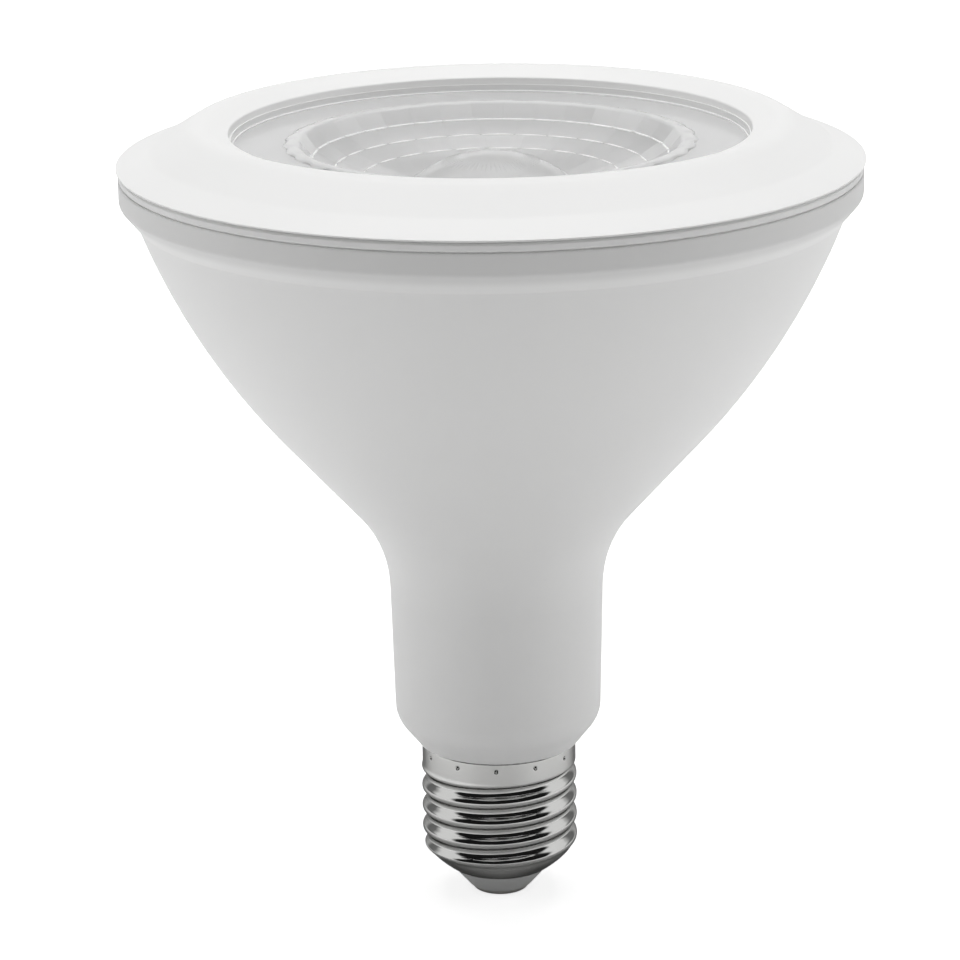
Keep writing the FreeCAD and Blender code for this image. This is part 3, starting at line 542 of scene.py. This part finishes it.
# clear ring at the top of the bowl: flat facets on its inner wall, shallow scallops on its top,
# mm and degrees
bowlRingSettings = {
    "facets": 35, "phase": 4.6, "steps": 8, "thin": 0.1,
    "scallopDrop": 0.22, "scallopReach": 0.7,
    "wall": [(29.4, 127.45), (29.12, 127.6), (30.95, 129.75), (31.15, 129.95)],   # radius, height
    "top": [(31.4, 130.04, 0.0), (31.9, 130.1, 0.35), (32.5, 130.08, 0.8),
            (32.9, 130.0, 1.0), (33.15, 129.76, 1.0)],   # radius, height, share of the scallop
}


def makeBowlRing(s):
    columns = s["facets"] * s["steps"]
    half = math.pi / s["facets"]
    rows = [(radius, height, 0.0, 1.0) for radius, height in s["wall"]]
    rows += [(radius, height, scallop, 0.0) for radius, height, scallop in s["top"]]
    points = []
    for radius, height, scallop, flat in rows:
        for column in range(columns):
            local = (column % s["steps"] / s["steps"] - 0.5) * 2 * half
            wave = math.cos(math.pi * local / (2 * half)) ** 2
            reach = radius + flat * radius * (math.cos(half) / math.cos(local) - 1)
            reach += scallop * s["scallopReach"] * wave
            angle = math.radians(90 - s["phase"]) + 2 * math.pi * column / columns
            top = height - scallop * s["scallopDrop"] * wave
            points.append(Vector((reach * math.cos(angle), reach * math.sin(angle), top)) * mm)
    faces = ringFaces(0, columns, len(rows))
    piece = addPiece("bowlRing", points, faces, finishes["clear_optic"])
    for polygon in piece.data.polygons:
        polygon.use_smooth = polygon.index >= columns * (len(s["wall"]) - 2)  # flat up to the lip
    thicken(piece, s["thin"])
    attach(piece, "root")


makeBowlRing(bowlRingSettings)
print("bowl ring made")


# pale floor, which keeps the lamp's shadow, mm
floorSettings = {
    "height": 0.0, "size": 12000.0, "tone": 0.85,
    "nearGlow": 0.72, "farGlow": 1.0, "glowFrom": 150.0, "glowTo": 600.0,   # what the camera sees
    "sideGlow": 0.2, "sideFrom": 20.0, "sideTo": 90.0,   # what mirrors see, at the lamp's sides
}


# 1 for what the camera sees, also through the clear lens
def cameraRays(tree, path):
    return mathNode(tree, "MAXIMUM", path["Is Camera Ray"], path["Is Transmission Ray"])


def makeFloorFinish(s):
    material = bpy.data.materials.new("paleFloor")
    material.use_nodes = True
    tree = material.node_tree
    tree.nodes.remove(tree.nodes["Principled BSDF"])
    path = addNode(tree, "ShaderNodeLightPath").outputs
    place = addNode(tree, "ShaderNodeTexCoord").outputs["Object"]
    away = addNode(tree, "ShaderNodeVectorMath", {0: place}, operation="LENGTH").outputs["Value"]
    sideways = addNode(tree, "ShaderNodeSeparateXYZ", {0: place}).outputs[0]
    sideways = mathNode(tree, "ABSOLUTE", sideways)
    floorGlow = softStep(tree, away, s["glowFrom"] * mm, s["glowTo"] * mm, s["nearGlow"], s["farGlow"])
    sideGlow = softStep(tree, sideways, s["sideFrom"] * mm, s["sideTo"] * mm, 0.0, s["sideGlow"])
    cameraGlow = mathNode(tree, "MULTIPLY", cameraRays(tree, path), floorGlow)
    mirrorGlow = mathNode(tree, "MULTIPLY", path["Is Glossy Ray"], sideGlow)
    matte = addNode(tree, "ShaderNodeBsdfDiffuse", {"Color": rgba([s["tone"]] * 3)}).outputs[0]
    glow = addNode(tree, "ShaderNodeEmission", {
        "Color": (1, 1, 1, 1), "Strength": mathNode(tree, "ADD", cameraGlow, mirrorGlow)}).outputs[0]
    both = addNode(tree, "ShaderNodeAddShader", {0: matte, 1: glow}).outputs[0]
    under = addNode(tree, "ShaderNodeNewGeometry").outputs["Backfacing"]  # clear from below
    clear = addNode(tree, "ShaderNodeBsdfTransparent").outputs[0]
    oneSided = addNode(tree, "ShaderNodeMixShader", {0: under, 1: both, 2: clear}).outputs[0]
    tree.links.new(oneSided, tree.nodes["Material Output"].inputs["Surface"])
    return material


def makeFloor(s):
    half = s["size"] * mm / 2
    height = s["height"] * mm
    corners = [(x * half, y * half, height) for x, y in ((-1, -1), (1, -1), (1, 1), (-1, 1))]
    floor = addPiece("paleFloor", corners, [(0, 1, 2, 3)], makeFloorFinish(s), smooth=False)


makeFloor(floorSettings)
print("floor made")


# white surround that lights the lamp mostly from the viewer's side
surroundSettings = {
    "lowFrontLight": 0.6, "highFrontLight": 0.2, "backLight": 0.05,
    "turnFront": -0.55, "turnBack": 0.25,   # the light turns between these depths of a direction
    "turnLow": 0.2, "turnHigh": 0.5,        # and between these heights of it
    "mirrorLean": -0.5,   # the side cards that mirrors see lean outwards by this much of their height
    "mirrorStops": [(-0.43, 0.01), (-0.3, 0.97), (0.2, 0.97), (0.4, 0.22), (0.64, 0.22), (0.76, 0.8)],
}


# what mirrors see: dark in front, bright cards at the sides, grey gaps behind them, pale backdrop
def mirrorRamp(tree, depth, mirrorStops):
    share = addNode(tree, "ShaderNodeMapRange", {"Value": depth, "From Min": -1.0, "From Max": 1.0})
    ramp = addNode(tree, "ShaderNodeValToRGB", {"Fac": share.outputs[0]})
    stops = ramp.color_ramp.elements
    for number, (place, level) in enumerate(mirrorStops):
        position = 0.5 + place / 2
        stop = stops[number] if number < 2 else stops.new(position)  # a new ramp has two stops
        stop.position = position
        stop.color = rgba([level] * 3)
    return ramp.outputs["Color"]


def makeSurround(s):
    world = bpy.data.worlds.new("surround")
    world.use_nodes = True
    bpy.context.scene.world = world
    tree = world.node_tree
    background = tree.nodes["Background"]
    background.inputs["Color"].default_value = (1, 1, 1, 1)
    way = addNode(tree, "ShaderNodeTexCoord").outputs["Generated"]
    parts = addNode(tree, "ShaderNodeSeparateXYZ", {0: way}).outputs
    behind = softStep(tree, parts[1], s["turnFront"], s["turnBack"])
    above = softStep(tree, parts[2], s["turnLow"], s["turnHigh"])
    front = mixNumbers(tree, above, s["lowFrontLight"], s["highFrontLight"])
    lit = mixNumbers(tree, behind, front, s["backLight"])
    lean = mathNode(tree, "MULTIPLY", parts[2], s["mirrorLean"])
    mirrored = mirrorRamp(tree, mathNode(tree, "ADD", parts[1], lean), s["mirrorStops"])
    path = addNode(tree, "ShaderNodeLightPath").outputs
    level = mixNumbers(tree, path["Is Glossy Ray"], lit, mirrored)
    level = mixNumbers(tree, cameraRays(tree, path), level, 1.0)
    tree.links.new(level, background.inputs["Strength"])


makeSurround(surroundSettings)
print("surround made")


# softboxes: place and side lengths in mm, glow as radiance
lightSettings = {
    "overhead": {"place": (0, 120, 1250), "size": (1100, 1000), "glow": 4.2},
    "leftBox": {"place": (-950, 120, 120), "size": (700, 800), "glow": 1.87},
    "rightBox": {"place": (950, 120, 120), "size": (700, 800), "glow": 1.87},
}
lightAim = (0, 0, 80)  # mm


def makeLights(settings):
    for name, box in settings.items():
        data = bpy.data.lights.new(name, "AREA")
        data.shape = "RECTANGLE"
        data.size = box["size"][0] * mm
        data.size_y = box["size"][1] * mm
        data.energy = math.pi * data.size * data.size_y * box["glow"]
        light = bpy.data.objects.new(name, data)
        bpy.context.scene.collection.objects.link(light)
        place = Vector(box["place"]) * mm
        light.location = place
        light.visible_glossy = False
        light.rotation_euler = (Vector(lightAim) * mm - place).to_track_quat("-Z", "Y").to_euler()


makeLights(lightSettings)
print("lights made:", len(lightSettings))
